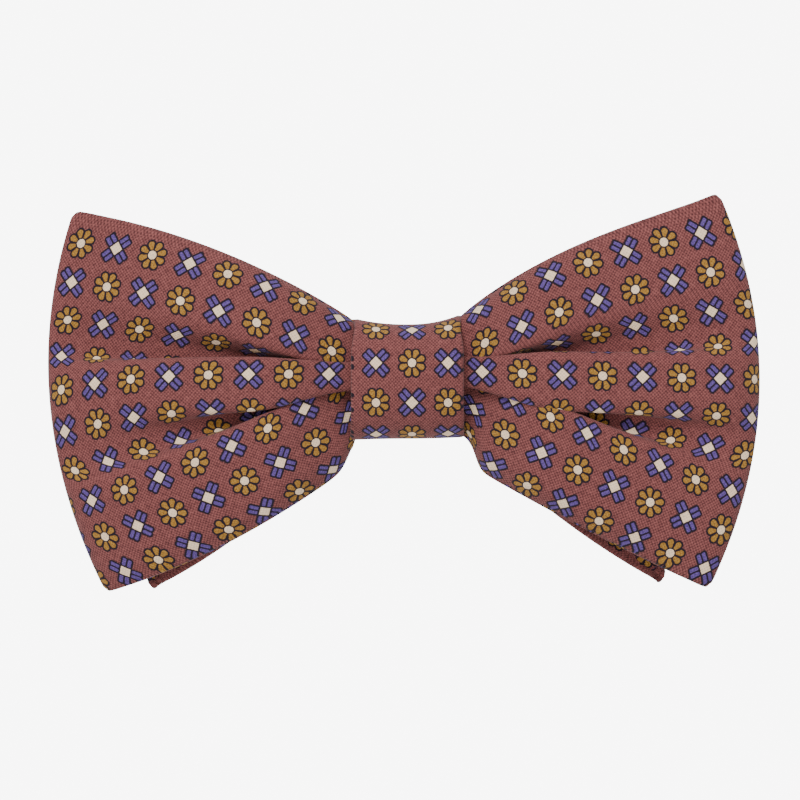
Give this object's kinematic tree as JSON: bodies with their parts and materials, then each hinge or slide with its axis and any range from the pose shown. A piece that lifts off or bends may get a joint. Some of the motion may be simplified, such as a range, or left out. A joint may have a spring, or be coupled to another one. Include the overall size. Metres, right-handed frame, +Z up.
{
  "type": "pre-tied bow tie",
  "caption": "Pre-tied butterfly bow tie in foulard-printed cotton: two looped bows bound at the waist under a wrapped knot, on an adjustable hook-and-eye neckband.",
  "frame": {"origin": "middle of the flat rear face of the knot, the face that lies on the collar", "axes": "+Z up as worn, -Y out of the front of the bow, +X to the right as seen from the front"},
  "size_m": [0.1202, 0.1331, 0.0666],
  "materials": {
    "printed_cotton": "matte plain-weave cotton, brick-burgundy ground with an all-over print of gold eight-petal flowers and blue crossed bars round cream centres",
    "interlining": "matte undyed woven interlining canvas",
    "sewing_thread": "matte burgundy polyester thread",
    "nickel_steel": "nickel-plated stamped steel, satin to bright"
  },
  "bodies": {
    "bow": {"front_bow_cloth": "printed_cotton", "front_bow_interlining": "interlining", "front_bow_lining": "printed_cotton", "back_bow_cloth": "printed_cotton", "back_bow_interlining": "interlining", "back_bow_lining": "printed_cotton", "waist_binding_thread": "sewing_thread", "knot_wrap": "printed_cotton", "knot_interlining": "interlining", "knot_closing_stitches": "sewing_thread", "neckband_centre": "printed_cotton"},
    "left_band": {"neckband_left": "printed_cotton", "left_end_bar_tack": "sewing_thread"},
    "right_band": {"neckband_right": "printed_cotton"},
    "slider": {"length_slider": "nickel_steel", "slider_end_loop": "printed_cotton", "slider_end_bar_tack": "sewing_thread"},
    "hook_body": {"hook": "nickel_steel"},
    "eye_body": {"eye_plate": "nickel_steel"}
  },
  "joints": [
    {"name": "left_band_open", "type": "hinge", "parent": "bow", "child": "left_band", "pos_m": [-0.04494, 0.01416, 0], "axis": [0, 0, 1], "range_deg": [-5, 75]},
    {"name": "right_band_open", "type": "hinge", "parent": "bow", "child": "right_band", "pos_m": [0.04494, 0.01416, 0], "axis": [0, 0, -1], "range_deg": [-5, 75]},
    {"name": "slider_travel", "type": "hinge", "parent": "right_band", "child": "slider", "pos_m": [0.00415, 0.06354, 0], "axis": [0, 0, -1], "range_deg": [0, 25]},
    {"name": "hook_swivel", "type": "hinge", "parent": "right_band", "child": "hook_body", "pos_m": [0.01831, 0.11524, 0], "axis": [0, 0, -1], "range_deg": [0, 40]},
    {"name": "eye_swivel", "type": "hinge", "parent": "left_band", "child": "eye_body", "pos_m": [-0.01831, 0.11524, 0], "axis": [0, 0, -1], "range_deg": [0, 30]}
  ]
}
